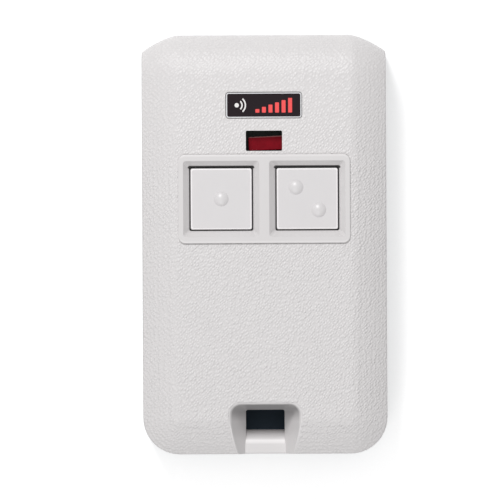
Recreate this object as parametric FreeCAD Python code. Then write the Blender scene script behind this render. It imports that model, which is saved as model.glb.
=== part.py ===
import FreeCAD, Part

import math
import os

from FreeCAD import Vector

# Two-button key fob transmitter, lying on its back. +Z points out of the front face, +Y towards
# the top end and +X to the right. The origin is the middle of the back face. All in millimetres.

# Case
case_length = 59.0
case_width = 34.4
case_depth = 14.0
wall = 1.5
back_wall = 1.5
edge_run = 5.2
edge_bend = 3.0
edge_slope = 18.0
edge_radius = 14.6
end_roll = 5.5
crease_round = 0.5
parting_share = 0.357
back_round = 1.4
fit_gap = 0.1
lip_height = 0.9
lip_thickness = 0.8
lip_root_depth = 1.0
lip_gap = 1.5

# Button bezel, its funnels and the buttons in them
bezel_margin = 5.1
bezel_rim = 0.9
bezel_divider = 1.4
bezel_rise = 0.3
bezel_edge = 0.15
bezel_round = 1.0
button_row_share = 0.1093
funnel_run = 0.9
funnel_depth = 1.2
funnel_corner = 0.45
throat_land = 1.3
button_gap = 0.15
button_corner = 0.25
button_edge = 0.2
button_proud = 0.3
button_travel = 0.25
flange_overhang = 0.45
flange_thickness = 0.6
button_skin = 1.0
button_rim = 0.9
bump_root = 0.2
stem_diameter = 3.2
bump_diameter = 2.13
bump_rise = 0.45
bump_offset = 1.6

# Indicator window and lamp
lamp_window_width = 5.1
lamp_window_height = 2.85
lamp_window_corner = 0.2
lamp_window_gap = 0.48
lamp_width = 5.0
lamp_thickness = 2.0
lamp_shift_x = 0.33
lamp_shift_y = -0.35
lamp_lean = 2.5
lamp_sink = 0.3
lamp_corner = 0.25
lamp_edge = 0.15
lead_pitch = 2.54
lead_size = 0.5
lead_stub = 0.9

# Label plate and its recess
label_width = 10.8
label_height = 3.75
label_gap = 1.7
label_recess = 0.5
label_corner = 0.5
plate_gap = 0.12
plate_thickness = 0.35

# Key-ring end: recess, window, bar and channel
recess_width = 9.9
recess_reach = 7.1
recess_share = 0.336
recess_corner = 1.5
window_width = 5.46
window_reach = 6.2
window_corner = 0.3
ring_wall = 1.2
overrun = 4.0
recess_edge = 0.35
bar_width = 3.35
bar_lift = 0.25
bar_clearance = 1.2
bar_inner_round = 2.3
bar_outer_round = 0.3
bar_foot_round = 0.5

# Screws and bosses
screw_from_side = 5.7
screw_from_end = 7.0
screw_diameter = 2.2
screw_length = 7.5
screw_head_diameter = 3.8
screw_head_height = 1.4
screw_head_round = 0.4
screw_tip = 0.3
screw_bore_gap = 0.05
head_gap = 0.2
head_seat = 2.0
cross_width = 0.55
cross_length = 2.5
cross_depth = 0.8
boss_diameter = 4.8
bore_spare = 0.5

# Hooks at the top end of the rear cover and the ledge they go over
hook_width = 4.0
hook_x = 6.0
hook_thickness = 1.0
hook_nose = 0.35
hook_nose_height = 0.7
ledge_depth = 0.4
ledge_thickness = 0.6

# Circuit board and its posts
board_side_gap = 1.1
battery_bay_share = 0.415
board_from_top = 3.9
board_thickness = 1.2
board_depth = 7.1
board_corner = 2.4
post_diameter = 2.4
post_pin_diameter = 1.1
post_from_side = 3.0
post_from_board_end = 2.9
pin_gap = 0.1
rib_thickness = 1.2
rib_reach = 2.0
rib_pitch = 8.0
rib_shift = 2.0

# Push switches
switch_size = 6.0
switch_height = 1.4
switch_corner = 0.6
switch_cover = 0.2
plunger_diameter = 3.2
plunger_spare = 0.3
plunger_edge = 0.2
dome_diameter = 4.4
dome_height = 0.5
dome_sheet = 0.1
switch_well = 0.75
leg_width = 0.7
leg_thickness = 0.2
leg_spread = 4.5

# Code switch
code_levers = 10
code_end_gap = 1.2
code_margin = 0.7
code_corner = 0.3
code_width = 6.3
code_height = 3.2
code_share = 0.438
lever_width = 1.1
lever_length = 1.3
lever_rise = 0.6
knob_width = 0.9
knob_length = 0.8
lever_root = 0.9
lever_travel = 1.6
lever_gap = 0.12
code_lead_width = 0.6
code_lead_reach = 0.9
code_lead_thickness = 0.2
levers_on = (1, 4, 5, 7, 10)

# Battery and contacts
battery_head_gap = 0.6
spring_room = 1.8
battery_nub_diameter = 4.2
battery_nub_length = 1.0
battery_lift = 0.2
battery_from_board = 0.9
battery_crimp = 0.8
contact_thickness = 0.3
contact_width = 9.0
contact_height_share = 0.62
contact_arm_height = 1.6
contact_wall_gap = 0.25
contact_tail_width = 2.0
contact_tail_reach = 1.6
rail_lip = 0.6
rail_below = 0.7
rail_above = 0.5
spring_wire = 0.5
spring_turns = 2.0
spring_large = 6.4
spring_small = 3.4
saddle_spacing = 15.0
saddle_thickness = 1.2
saddle_rise = 2.6
saddle_gap = 0.1
saddle_inset = 0.2

# Board parts
chip_length = 8.7
chip_width = 3.9
chip_height = 1.6
chip_corner = 0.2
chip_lift = 0.1
chip_pins = 7
chip_pin_pitch = 1.27
chip_pin_width = 0.45
chip_pin_reach = 1.05
chip_pin_thickness = 0.25
chip_from_board_edge = 4.0
trimmer_size = 4.2
trimmer_height = 1.3
trimmer_corner = 0.4
trimmer_rotor_diameter = 3.0
trimmer_rotor_rise = 0.5
trimmer_slot = 0.6
trimmer_from_side = 6.8
trimmer_from_board_top = 5.6
resonator_diameter = 4.6
resonator_height = 2.2
resonator_rim = 0.4
resonator_round = 0.3
resonator_from_side = 6.4
resonator_from_board_top = 5.4
transistor_length = 2.9
transistor_width = 1.4
transistor_height = 1.0
transistor_pitch = 1.9
transistor_leg_width = 0.4
transistor_leg_reach = 0.6
transistor_leg_root = 0.2
transistor_leg_thickness = 0.25
chip_part_length = 2.0
chip_part_width = 1.25
chip_part_height = 0.6
chip_part_pitch = 2.6
resistor_count = 7
resistor_from_board_edge = 2.2
capacitor_count = 3
capacitor_from_board_top = 1.8

# Worked out from the sizes above
half_width = case_width / 2
half_length = case_length / 2
edge_angle = math.radians(edge_slope)
bend_x = half_width - edge_run
bend_z = case_depth - edge_bend
edge_x = bend_x - (edge_radius - edge_bend) * math.sin(edge_angle)
edge_z = bend_z - (edge_radius - edge_bend) * math.cos(edge_angle)
recess_depth = case_depth * recess_share
roll_centre_y = half_length - end_roll
roll_centre_z = case_depth - end_roll
foot_centre_y = edge_run - half_length
ceiling = case_depth - wall
parting_height = case_depth * parting_share
bezel_width = case_width - 2 * bezel_margin
button_pitch = bezel_width / 2
funnel_mouth = button_pitch - bezel_divider
funnel_throat = funnel_mouth - 2 * funnel_run
button_size = funnel_throat - 2 * button_gap
bezel_height = funnel_mouth + 2 * bezel_rim
button_row_y = case_length * button_row_share
lamp_window_y = button_row_y + bezel_height / 2 + lamp_window_gap + lamp_window_height / 2
label_y = lamp_window_y + lamp_window_height / 2 + label_gap + label_height / 2
bezel_top = case_depth + bezel_rise
funnel_bottom = bezel_top - funnel_depth
throat_bottom = funnel_bottom - throat_land
button_top = funnel_bottom + button_proud
flange_top = throat_bottom - fit_gap
flange_bottom = flange_top - flange_thickness
board_width = case_width - 2 * (wall + board_side_gap)
board_height = case_depth - board_depth
board_top = board_height + board_thickness
board_far_y = half_length - board_from_top
board_near_y = case_length * battery_bay_share - half_length
board_length = board_far_y - board_near_y
board_middle_y = (board_far_y + board_near_y) / 2
post_x = board_width / 2 - post_from_side
screw_x = half_width - screw_from_side
switch_top = board_top + switch_height
plunger_top = switch_top + switch_cover + button_travel + plunger_spare
button_places = {"left": -button_pitch / 2, "right": button_pitch / 2}
recess_floor = case_depth - recess_depth
bar_top = recess_floor + bar_lift
bar_bottom = parting_height + bar_clearance
screw_y = screw_from_end - half_length
ledge_bottom = parting_height + lip_height + 2 * fit_gap
ledge_top = ledge_bottom + ledge_thickness
ledge_face = half_length - wall - ledge_depth
hook_span = hook_x + hook_width
battery_diameter = ceiling - back_wall - battery_lift - battery_head_gap
battery_y = board_near_y - battery_from_board - battery_diameter / 2
battery_z = back_wall + battery_lift + battery_diameter / 2
contact_face = half_width - wall - contact_wall_gap - contact_thickness
contact_height = battery_diameter * contact_height_share
battery_plus = contact_face
battery_minus = spring_room - contact_face
code_length = board_width - 2 * code_end_gap
code_pitch = (code_length - 2 * code_margin) / code_levers
code_y = board_near_y + board_length * code_share
code_face = board_height - code_height
trimmer_x = trimmer_from_side - board_width / 2
resonator_x = board_width / 2 - resonator_from_side


def block(x0, x1, y0, y1, z0, z1):
    return Part.makeBox(x1 - x0, y1 - y0, z1 - z0, Vector(x0, y0, z0))


def centred_block(x, y, width, height, z0, z1):
    return block(x - width / 2, x + width / 2, y - height / 2, y + height / 2, z0, z1)


def post(x, y, diameter, z0, z1):
    return Part.makeCylinder(diameter / 2, z1 - z0, Vector(x, y, z0))


def join(shapes):
    return shapes[0].fuse(list(shapes[1:])).removeSplitter()


def arc(start, middle, end):
    return Part.Arc(start, middle, end).toShape()


def line(start, end):
    return Part.LineSegment(start, end).toShape()


def rounded_wire(x0, x1, y0, y1, radius, z):
    """A rectangle at height z with its four corners rounded."""
    inset = radius * (1 - math.sqrt(0.5))
    corners = (
        ((x1, y1 - radius), (x1 - inset, y1 - inset), (x1 - radius, y1)),
        ((x0 + radius, y1), (x0 + inset, y1 - inset), (x0, y1 - radius)),
        ((x0, y0 + radius), (x0 + inset, y0 + inset), (x0 + radius, y0)),
        ((x1 - radius, y0), (x1 - inset, y0 + inset), (x1, y0 + radius)),
    )
    edges = []
    for number, (start, middle, end) in enumerate(corners):
        following = corners[(number + 1) % 4][0]
        edges.append(arc(Vector(*start, z), Vector(*middle, z), Vector(*end, z)))
        edges.append(line(Vector(*end, z), Vector(*following, z)))
    return Part.Wire(edges)


def rounded_block(x, y, width, height, radius, z0, z1):
    outline = rounded_wire(x - width / 2, x + width / 2, y - height / 2, y + height / 2, radius, z0)
    return Part.Face(outline).extrude(Vector(0, 0, z1 - z0))


def soften(solid, radius, height):
    """Rounds the edges that lie wholly at one height."""
    edges = [
        edge
        for edge in solid.Edges
        if all(abs(vertex.Z - height) < 1e-6 for vertex in edge.Vertexes)
    ]
    return solid.makeFillet(radius, edges)


def edge_profile(inset):
    """Points of the case's side in section, as distance out and height, from the flat front down.

    The front bends over, runs down on a long flat curve and turns at a crease into the side.
    """
    reach = half_width - inset
    radius = edge_radius - inset
    small_out = reach - crease_round
    small_height = edge_z + math.sqrt((radius - crease_round) ** 2 - (small_out - edge_x) ** 2)
    turn = math.atan2(small_out - edge_x, small_height - edge_z)

    def on_arc(out, height, size, angle):
        return out + size * math.sin(angle), height + size * math.cos(angle)

    return (
        on_arc(bend_x, bend_z, edge_bend - inset, 0),
        on_arc(bend_x, bend_z, edge_bend - inset, edge_angle / 2),
        on_arc(edge_x, edge_z, radius, edge_angle),
        on_arc(edge_x, edge_z, radius, (edge_angle + turn) / 2),
        on_arc(edge_x, edge_z, radius, turn),
        on_arc(small_out, small_height, crease_round, (turn + math.pi / 2) / 2),
        (reach, small_height),
    )


def arcs_through(points):
    """The three arcs of an edge profile."""
    return [arc(*points[start:start + 3]) for start in (0, 2, 4)]


def section_face(inset, low, place):
    """The case in section across its width from height low up, with place giving each point."""
    profile = edge_profile(inset)
    right = [place(*point) for point in profile]
    left = [place(-out, height) for out, height in profile]
    foot_right = place(profile[-1][0], low)
    foot_left = place(-profile[-1][0], low)
    edges = [
        line(left[0], right[0]),
        *arcs_through(right),
        line(right[-1], foot_right),
        line(foot_right, foot_left),
        line(foot_left, left[-1]),
        *arcs_through(left[::-1]),
    ]
    return Part.Face(Part.Wire(edges))


def half_section(inset, low, place):
    """One edge of the case in section, from the line where the front starts to bend outwards."""
    profile = edge_profile(inset)
    points = [place(*point) for point in profile]
    foot = place(profile[-1][0], low)
    heel = place(bend_x, low)
    edges = [*arcs_through(points), line(points[-1], foot), line(foot, heel), line(heel, points[0])]
    return Part.Face(Part.Wire(edges))


def case_form(inset, low):
    """The rounded outer form of the case, drawn in by inset, from height low to the front."""
    across = section_face(inset, low, lambda out, height: Vector(out, foot_centre_y, height))
    body = across.extrude(Vector(0, roll_centre_y - foot_centre_y, 0))

    roll_axis = Vector(0, roll_centre_y, roll_centre_z)
    top = section_face(inset, roll_centre_z, lambda out, height: Vector(out, roll_centre_y, height))
    roll = top.revolve(roll_axis, Vector(1, 0, 0), -90)
    drop = roll_centre_y - roll_centre_z
    end = section_face(inset, roll_centre_z, lambda out, height: Vector(out, height + drop, roll_centre_z))
    end_wall = end.extrude(Vector(0, 0, low - roll_centre_z))

    shift = foot_centre_y + bend_x
    foot = half_section(inset, low, lambda out, height: Vector(-bend_x, shift - out, height))
    foot_strip = foot.extrude(Vector(2 * bend_x, 0, 0))
    left_axis = Vector(-bend_x, foot_centre_y, 0)
    left_corner = foot.revolve(left_axis, Vector(0, 0, 1), -90)
    right_corner = left_corner.mirror(Vector(0, 0, 0), Vector(1, 0, 0))
    return join([body, roll, end_wall, foot_strip, left_corner, right_corner])


def plan_slab(inset, z0, z1):
    """A flat slab with the case's outline in plan, drawn in by inset."""
    form = case_form(inset, min(z0, 0.0) - 1.0)
    return form.common(block(-case_width, case_width, -case_length, case_length, z0, z1))


def funnel(x):
    """The sloping mouth of one button well, a little taller than the bezel."""
    spread = (funnel_mouth - funnel_throat) / 2 / funnel_depth
    above = 0.5
    mouth = funnel_mouth / 2 + above * spread
    throat = funnel_throat / 2
    y = button_row_y
    upper = rounded_wire(x - mouth, x + mouth, y - mouth, y + mouth, funnel_corner, bezel_top + above)
    lower = rounded_wire(x - throat, x + throat, y - throat, y + throat, button_corner, funnel_bottom)
    return Part.makeLoft([upper, lower], True, True)


def well_cut(x):
    throat = rounded_block(
        x, button_row_y, funnel_throat, funnel_throat, button_corner, throat_bottom - 1, funnel_bottom
    )
    return join([funnel(x), throat])


def bezel():
    pad = rounded_block(
        0, button_row_y, bezel_width, bezel_height, bezel_round, case_depth - wall, bezel_top
    )
    return soften(pad, bezel_edge, bezel_top)


def well_floor():
    """The thicker floor behind the bezel that guides both buttons."""
    return rounded_block(
        0, button_row_y, bezel_width, bezel_height, bezel_round, throat_bottom, case_depth - wall / 2
    )


def recess_outline(rise, margin):
    """The key-ring recess in plan, rise above its floor and wider by margin, open past the end."""
    slope_x = (recess_width - window_width) / 2 / recess_depth
    slope_y = (recess_reach - window_reach) / recess_depth
    slope_corner = (recess_corner - window_corner) / recess_depth
    side = window_width / 2 + slope_x * rise + margin
    top_y = window_reach - half_length + slope_y * rise + margin
    radius = window_corner + slope_corner * rise + margin
    return rounded_wire(-side, side, -half_length - overrun, top_y, radius, recess_floor + rise)


def ring_funnel():
    """The sloping key-ring recess, its opening edge rounded off in two narrow bands."""
    fold = recess_edge * (1 - math.sqrt(0.5))
    above = fold
    sections = [
        recess_outline(0, 0),
        recess_outline(recess_depth - recess_edge, 0),
        recess_outline(recess_depth - fold, fold),
        recess_outline(recess_depth + above, 2 * recess_edge - fold),
    ]
    return Part.makeLoft(sections, True, True)


def ring_funnel_wall():
    """The wall round the key-ring recess before the recess is cut out of it."""
    sections = [recess_outline(0, ring_wall), recess_outline(recess_depth + 1, ring_wall)]
    return Part.makeLoft(sections, True, True)


def ring_shaft(margin, z0, z1):
    """The straight key-ring channel below the recess, open past the bottom end."""
    top_y = window_reach - half_length + margin
    side = window_width / 2 + margin
    outline = rounded_wire(-side, side, -half_length - overrun, top_y, window_corner + margin, z0)
    return Part.Face(outline).extrude(Vector(0, 0, z1 - z0))


def ring_bar():
    """The round-topped bar that the key ring goes about."""
    outer = -half_length
    inner = outer + bar_width
    side = window_width / 2 + ring_wall / 2
    beam = block(-side, side, outer, inner, bar_bottom, bar_top)
    rounds = (
        (bar_inner_round, inner, bar_top),
        (bar_outer_round, outer, bar_top),
        (bar_foot_round, inner, bar_bottom),
        (bar_foot_round, outer, bar_bottom),
    )
    for radius, y, z in rounds:
        edges = [
            edge
            for edge in beam.Edges
            if all(abs(vertex.Y - y) < 1e-6 and abs(vertex.Z - z) < 1e-6 for vertex in edge.Vertexes)
        ]
        beam = beam.makeFillet(radius, edges)
    return beam


def board_posts():
    """Posts under the front that the circuit board stands on, with pins through it."""
    posts = []
    for x in (-post_x, post_x):
        for y in (board_far_y - post_from_board_end, board_near_y + post_from_board_end):
            posts.append(post(x, y, post_diameter, board_top, case_depth))
            pin_foot = board_height - fit_gap * 3
            posts.append(post(x, y, post_pin_diameter, pin_foot, board_top + fit_gap))
    return posts


def catch_ledge():
    """The ledge inside the top end that the rear cover's hooks go over."""
    return block(-hook_span, hook_span, ledge_face, half_length - wall / 2, ledge_bottom, ledge_top)


def front_cover():
    shell = case_form(0, parting_height).cut(case_form(wall, parting_height - 1))
    inside = case_form(wall / 2, parting_height)
    ring_wall_form = join([
        ring_funnel_wall(),
        ring_shaft(ring_wall, parting_height, recess_floor),
    ]).common(case_form(0, parting_height))
    bosses = [post(x, screw_y, boss_diameter, parting_height, case_depth) for x in (-screw_x, screw_x)]
    inner = [shape.common(inside) for shape in bosses + board_posts() + [catch_ledge()]]
    cover = join([shell, bezel(), well_floor(), ring_wall_form] + inner)
    cuts = [well_cut(x) for x in button_places.values()]
    cuts.append(ring_funnel())
    cuts.append(ring_shaft(0, parting_height - 1, recess_floor))
    cuts.append(
        rounded_block(
            0, lamp_window_y, lamp_window_width, lamp_window_height, lamp_window_corner,
            ceiling - 1, case_depth + 1
        )
    )
    cuts.append(
        rounded_block(
            0, label_y, label_width, label_height, label_corner, case_depth - label_recess, case_depth + 1
        )
    )
    bore = screw_diameter + 2 * screw_bore_gap
    bore_top = head_seat + screw_length + bore_spare
    cuts.extend(post(x, screw_y, bore, parting_height - 1, bore_top) for x in (-screw_x, screw_x))
    return join([cover.cut(cuts), ring_bar().common(case_form(0, 0))])


def hooks():
    """Two hooks at the top end of the rear cover, over the ledge in the front."""
    face = ledge_face - fit_gap
    nose_low = ledge_top + fit_gap
    nose_high = nose_low + hook_nose_height
    made = []
    for x in (-hook_x, hook_x):
        side = (x - hook_width / 2, x + hook_width / 2)
        made.append(block(*side, face - hook_thickness, face, back_wall / 2, nose_high))
        made.append(block(*side, face - hook_thickness, face + hook_nose, nose_low, nose_high))
    return made


def board_ribs():
    """Ribs on the rear cover's side walls that hold the board up against its posts."""
    made = []
    inner = half_width - wall
    middle = board_middle_y - rib_shift
    for y in (middle - rib_pitch / 2, middle + rib_pitch / 2):
        for side in (-1, 1):
            ends = sorted((side * (inner - rib_reach), side * (inner + wall / 2)))
            low = block(*ends, y - rib_thickness / 2, y + rib_thickness / 2, back_wall / 2, parting_height)
            ends = sorted((side * (inner - rib_reach), side * (inner - fit_gap)))
            high = block(*ends, y - rib_thickness / 2, y + rib_thickness / 2, back_wall, board_height)
            made.extend([low, high])
    return made


def battery_saddles():
    """Two ribs across the rear cover, hollowed to the battery."""
    made = []
    middle = (battery_plus - battery_nub_length + battery_minus) / 2
    reach = battery_diameter / 2
    cradle = Part.makeCylinder(
        reach + saddle_gap, 2 * case_width, Vector(-case_width, battery_y, battery_z), Vector(1, 0, 0)
    )
    for x in (middle - saddle_spacing / 2, middle + saddle_spacing / 2):
        rib = block(
            x - saddle_thickness / 2, x + saddle_thickness / 2,
            battery_y - reach + saddle_inset, battery_y + reach - saddle_inset,
            back_wall / 2, back_wall + saddle_rise,
        )
        made.append(rib.cut(cradle))
    return made


def contact_rails():
    """Slotted rails in the rear cover that the battery contacts slide into."""
    made = []
    slot = contact_thickness + 2 * fit_gap
    y = battery_y - contact_width / 2
    for side in (-1, 1):
        inner = half_width - wall
        ends = sorted((side * (contact_face - rail_lip), side * (inner + wall / 2)))
        rail = block(*ends, y - rail_below, y + rail_above, back_wall / 2, parting_height)
        middle = side * (contact_face + contact_thickness / 2)
        groove = block(
            middle - slot / 2, middle + slot / 2, y - fit_gap, y + 1, back_wall, parting_height + 1
        )
        made.append(rail.cut(groove))
    return made


def cover_lip():
    """The thin lip that stands up inside the front cover, open at the contacts and the key ring."""
    root_low = parting_height - lip_root_depth
    lip = plan_slab(wall + fit_gap, root_low, parting_height + lip_height)
    root = plan_slab(wall / 2, root_low, parting_height)
    inside = plan_slab(wall + fit_gap + lip_thickness, root_low - 1, parting_height + lip_height + 1)
    contacts = block(
        -case_width, case_width,
        battery_y - contact_width / 2 - lip_gap, board_near_y + contact_tail_width + lip_gap,
        root_low - 1, case_depth,
    )
    ring_side = window_width / 2 + ring_wall + fit_gap
    ring_top = window_reach - half_length + ring_wall + fit_gap
    key_ring = block(-ring_side, ring_side, -case_length, ring_top, parting_height, case_depth)
    return join([lip, root]).cut([inside, contacts, key_ring])


def rear_cover():
    solid = soften(plan_slab(0, 0, parting_height), back_round, 0)
    tray = solid.cut(plan_slab(wall, back_wall, parting_height + 1))
    ring_walls = ring_shaft(ring_wall, 0, parting_height).common(solid)
    bosses = [post(x, screw_y, boss_diameter, back_wall / 2, parting_height) for x in (-screw_x, screw_x)]
    inner = hooks() + board_ribs() + battery_saddles() + contact_rails()
    cover = join([tray, cover_lip(), ring_walls] + bosses + inner)
    cuts = [ring_shaft(0, back_wall, parting_height + 1)]
    for x in (-screw_x, screw_x):
        cuts.append(post(x, screw_y, screw_diameter + 4 * screw_bore_gap, -1, parting_height + 1))
        cuts.append(post(x, screw_y, screw_head_diameter + 2 * head_gap, -1, head_seat))
    return cover.cut(cuts)


def case_screws():
    """Two pan-head screws, driven from the back."""
    made = []
    for x in (-screw_x, screw_x):
        head_low = head_seat - screw_head_height
        head = post(x, screw_y, screw_head_diameter, head_low, head_seat)
        head = soften(head, screw_head_round, head_low)
        radius = screw_diameter / 2
        shank_top = head_seat + screw_length - radius
        shank = post(x, screw_y, screw_diameter, head_seat, shank_top)
        point = Part.makeCone(radius, screw_tip, radius, Vector(x, screw_y, shank_top))
        cross = [
            centred_block(x, screw_y, cross_length, cross_width, head_low - 1, head_low + cross_depth),
            centred_block(x, screw_y, cross_width, cross_length, head_low - 1, head_low + cross_depth),
        ]
        made.append(join([head, shank, point]).cut(cross))
    return Part.makeCompound(made)


def bump(x, y):
    radius = ((bump_diameter / 2) ** 2 + bump_rise**2) / (2 * bump_rise)
    ball = Part.makeSphere(radius, Vector(x, y, button_top + bump_rise - radius))
    return ball.common(centred_block(x, y, 2 * radius, 2 * radius, button_top - bump_root, case_depth + 1))


def button(x, bumps):
    """A hollow square cap with a flange under the case, a stem on the switch and raised bumps."""
    y = button_row_y
    cap = rounded_block(x, y, button_size, button_size, button_corner, flange_bottom, button_top)
    cap = soften(cap, button_edge, button_top)
    flange_size = button_size + 2 * flange_overhang
    flange = rounded_block(x, y, flange_size, flange_size, button_corner, flange_bottom, flange_top)
    hollow_size = button_size - 2 * button_rim
    hollow = rounded_block(
        x, y, hollow_size, hollow_size, button_corner, flange_bottom - 1, button_top - button_skin
    )
    stem = post(x, y, stem_diameter, plunger_top, button_top - button_skin / 2)
    body = join([cap, flange]).cut(hollow)
    domes = [bump(x + dx, y + dy) for dx, dy in bumps]
    return join([body, stem] + domes)


def label_plate():
    width = label_width - 2 * plate_gap
    height = label_height - 2 * plate_gap
    floor = case_depth - label_recess
    return rounded_block(0, label_y, width, height, label_corner - plate_gap, floor, floor + plate_thickness)


def lean(shape):
    """Turns a lamp piece to the slight lean that the lamp has behind its window."""
    centre = Vector(lamp_shift_x, lamp_window_y + lamp_shift_y, 0)
    return shape.copy().rotate(centre, Vector(0, 0, 1), lamp_lean)


def indicator_lamp():
    """A flat rectangular lamp standing on the board behind the window."""
    x = lamp_shift_x
    y = lamp_window_y + lamp_shift_y
    top = ceiling - lamp_sink
    body = rounded_block(x, y, lamp_width, lamp_thickness, lamp_corner, board_top, top)
    return lean(soften(body, lamp_edge, top))


def lamp_leads():
    x = lamp_shift_x
    y = lamp_window_y + lamp_shift_y
    foot = board_height - lead_stub
    made = []
    for place in (x - lead_pitch / 2, x + lead_pitch / 2):
        made.append(centred_block(place, y, lead_size, lead_size, foot, board_top))
    return lean(Part.makeCompound(made))


def circuit_board():
    board = rounded_block(
        0, board_middle_y, board_width, board_length, board_corner, board_height, board_top
    )
    cuts = []
    for x in (-post_x, post_x):
        for y in (board_far_y - post_from_board_end, board_near_y + post_from_board_end):
            cuts.append(post(x, y, post_pin_diameter + 2 * pin_gap, board_height - 1, board_top + 1))
    hole = lead_size * math.sqrt(2) + 2 * pin_gap
    leads = [
        post(lamp_shift_x + side * lead_pitch / 2, lamp_window_y + lamp_shift_y, hole,
             board_height - 1, board_top + 1)
        for side in (-1, 1)
    ]
    return board.cut(cuts + [lean(lead) for lead in leads])


def switch_base(x):
    """The moulded base of a push switch, with a round well for its dome."""
    y = button_row_y
    base = rounded_block(x, y, switch_size, switch_size, switch_corner, board_top, switch_top)
    return base.cut(post(x, y, dome_diameter + 2 * fit_gap, switch_top - switch_well, switch_top + 1))


def switch_cover_plate(x):
    """The pressed metal plate over a switch, with its four soldered legs."""
    y = button_row_y
    top = switch_top + switch_cover
    plate = rounded_block(x, y, switch_size, switch_size, switch_corner, switch_top, top)
    hole = post(x, y, plunger_diameter + 2 * fit_gap, switch_top - 1, switch_top + 1)
    legs = []
    for side in (-1, 1):
        edge = x + side * switch_size / 2
        for offset in (-leg_spread / 2, leg_spread / 2):
            near, far = sorted((edge, edge + side * leg_thickness))
            legs.append(
                block(near, far, y + offset - leg_width / 2, y + offset + leg_width / 2, board_top, top)
            )
            near, far = sorted((edge, edge + side * leg_width))
            legs.append(
                block(near, far, y + offset - leg_width / 2, y + offset + leg_width / 2,
                      board_top, board_top + leg_thickness)
            )
    return join([plate.cut(hole)] + legs)


def switch_plunger(x):
    """The plunger between the button's stem and the dome."""
    y = button_row_y
    foot = switch_top - switch_well + dome_height
    rod = post(x, y, plunger_diameter, foot, plunger_top)
    return soften(rod, plunger_edge, plunger_top)


def switch_dome(x):
    """The pressed snap dome, standing on its rim in the base."""
    rim = dome_diameter / 2
    radius = (rim**2 + dome_height**2) / (2 * dome_height)
    floor = switch_top - switch_well
    centre = Vector(x, button_row_y, floor + dome_height - radius)
    outer = Part.makeSphere(radius, centre)
    inner = Part.makeSphere(radius - dome_sheet, centre)
    keep = centred_block(x, button_row_y, 2 * rim + 1, 2 * rim + 1, floor, switch_top)
    return outer.cut(inner).common(keep)


def lever_places():
    """Each code lever's number, its x and whether it rests at the on end of its slot."""
    first = -code_pitch * (code_levers - 1) / 2
    return [
        (number + 1, first + number * code_pitch, (number + 1) in levers_on)
        for number in range(code_levers)
    ]


def code_switch_body():
    body = rounded_block(0, code_y, code_length, code_width, code_corner, code_face, board_height)
    slot_length = lever_length + lever_travel + 2 * lever_gap
    slots = [
        centred_block(x, code_y, lever_width + 2 * lever_gap, slot_length,
                      code_face - 1, code_face + lever_root + lever_gap)
        for number, x, is_on in lever_places()
    ]
    return body.cut(slots)


def code_lever(x, is_on):
    """One sliding lever, standing out of the slot towards the rear cover."""
    y = code_y + (lever_travel / 2 if is_on else -lever_travel / 2)
    root = centred_block(x, y, lever_width, lever_length, code_face, code_face + lever_root)
    knob = centred_block(x, y, knob_width, knob_length, code_face - lever_rise, code_face)
    return join([root, knob])


def code_switch_terminals():
    made = []
    for number, x, is_on in lever_places():
        for side in (-1, 1):
            near = code_y + side * code_width / 2
            ends = sorted((near, near + side * code_lead_reach))
            foot = block(x - code_lead_width / 2, x + code_lead_width / 2, *ends,
                         board_height - code_lead_thickness, board_height)
            ends = sorted((near, near + side * code_lead_thickness))
            rise = block(x - code_lead_width / 2, x + code_lead_width / 2, *ends,
                         board_height - code_height / 2, board_height)
            made.append(join([foot, rise]))
    return Part.makeCompound(made)


def battery_cell():
    """A 12 V cell across the case: crimped can, insulating shoulder and positive nub."""
    radius = battery_diameter / 2
    shoulder = battery_plus - battery_nub_length
    nub = battery_nub_diameter / 2
    crimp = battery_crimp
    profile = [
        (battery_minus, 0),
        (battery_minus, radius - crimp),
        (battery_minus + crimp, radius),
        (shoulder - crimp, radius),
        (shoulder, radius - crimp),
        (shoulder, nub),
        (battery_plus, nub),
        (battery_plus, 0),
    ]
    points = [Vector(x, battery_y, battery_z + r) for x, r in profile]
    outline = Part.Face(Part.makePolygon(points + [points[0]]))
    return outline.revolve(Vector(0, battery_y, battery_z), Vector(1, 0, 0), 360)


def contact_plate(side):
    """A contact plate on end in its rail, with a tail soldered under the board's edge."""
    x0, x1 = sorted((side * contact_face, side * (contact_face + contact_thickness)))
    low = back_wall + fit_gap
    y0 = battery_y - contact_width / 2
    tail_y = board_near_y + contact_tail_width
    plate = block(x0, x1, y0, battery_y + contact_width / 2, low, low + contact_height)
    arm_low = board_height - contact_arm_height
    arm = block(x0, x1, y0 + contact_width / 2, tail_y, arm_low, board_height)
    ends = (side * (board_width / 2 - contact_tail_reach), side * (contact_face + contact_thickness))
    tail = block(*sorted(ends), board_near_y, tail_y, board_height - contact_thickness, board_height)
    return join([plate, arm, tail])


def battery_spring():
    """The conical spring between the negative plate and the battery's flat end."""
    plate = -contact_face
    length = battery_minus - plate
    pitch = (length - spring_wire) / spring_turns
    start = plate + spring_wire / 2
    angle = math.degrees(math.atan2((spring_small - spring_large) / 2, length - spring_wire))
    helix = Part.makeHelix(pitch, length - spring_wire, spring_large / 2, angle)
    section = Part.Wire([Part.makeCircle(
        spring_wire / 2, Vector(spring_large / 2, 0, 0), Vector(0, 1, 0)
    )])
    coil = Part.Wire(helix).makePipeShell([section], True, True)
    coil.rotate(Vector(0, 0, 0), Vector(0, 1, 0), 90)
    coil.translate(Vector(start, battery_y, battery_z))
    return coil


def encoder_chip():
    y = board_near_y + chip_from_board_edge
    low = board_height - chip_height
    return rounded_block(0, y, chip_length, chip_width, chip_corner, low, board_height - chip_lift)


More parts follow.
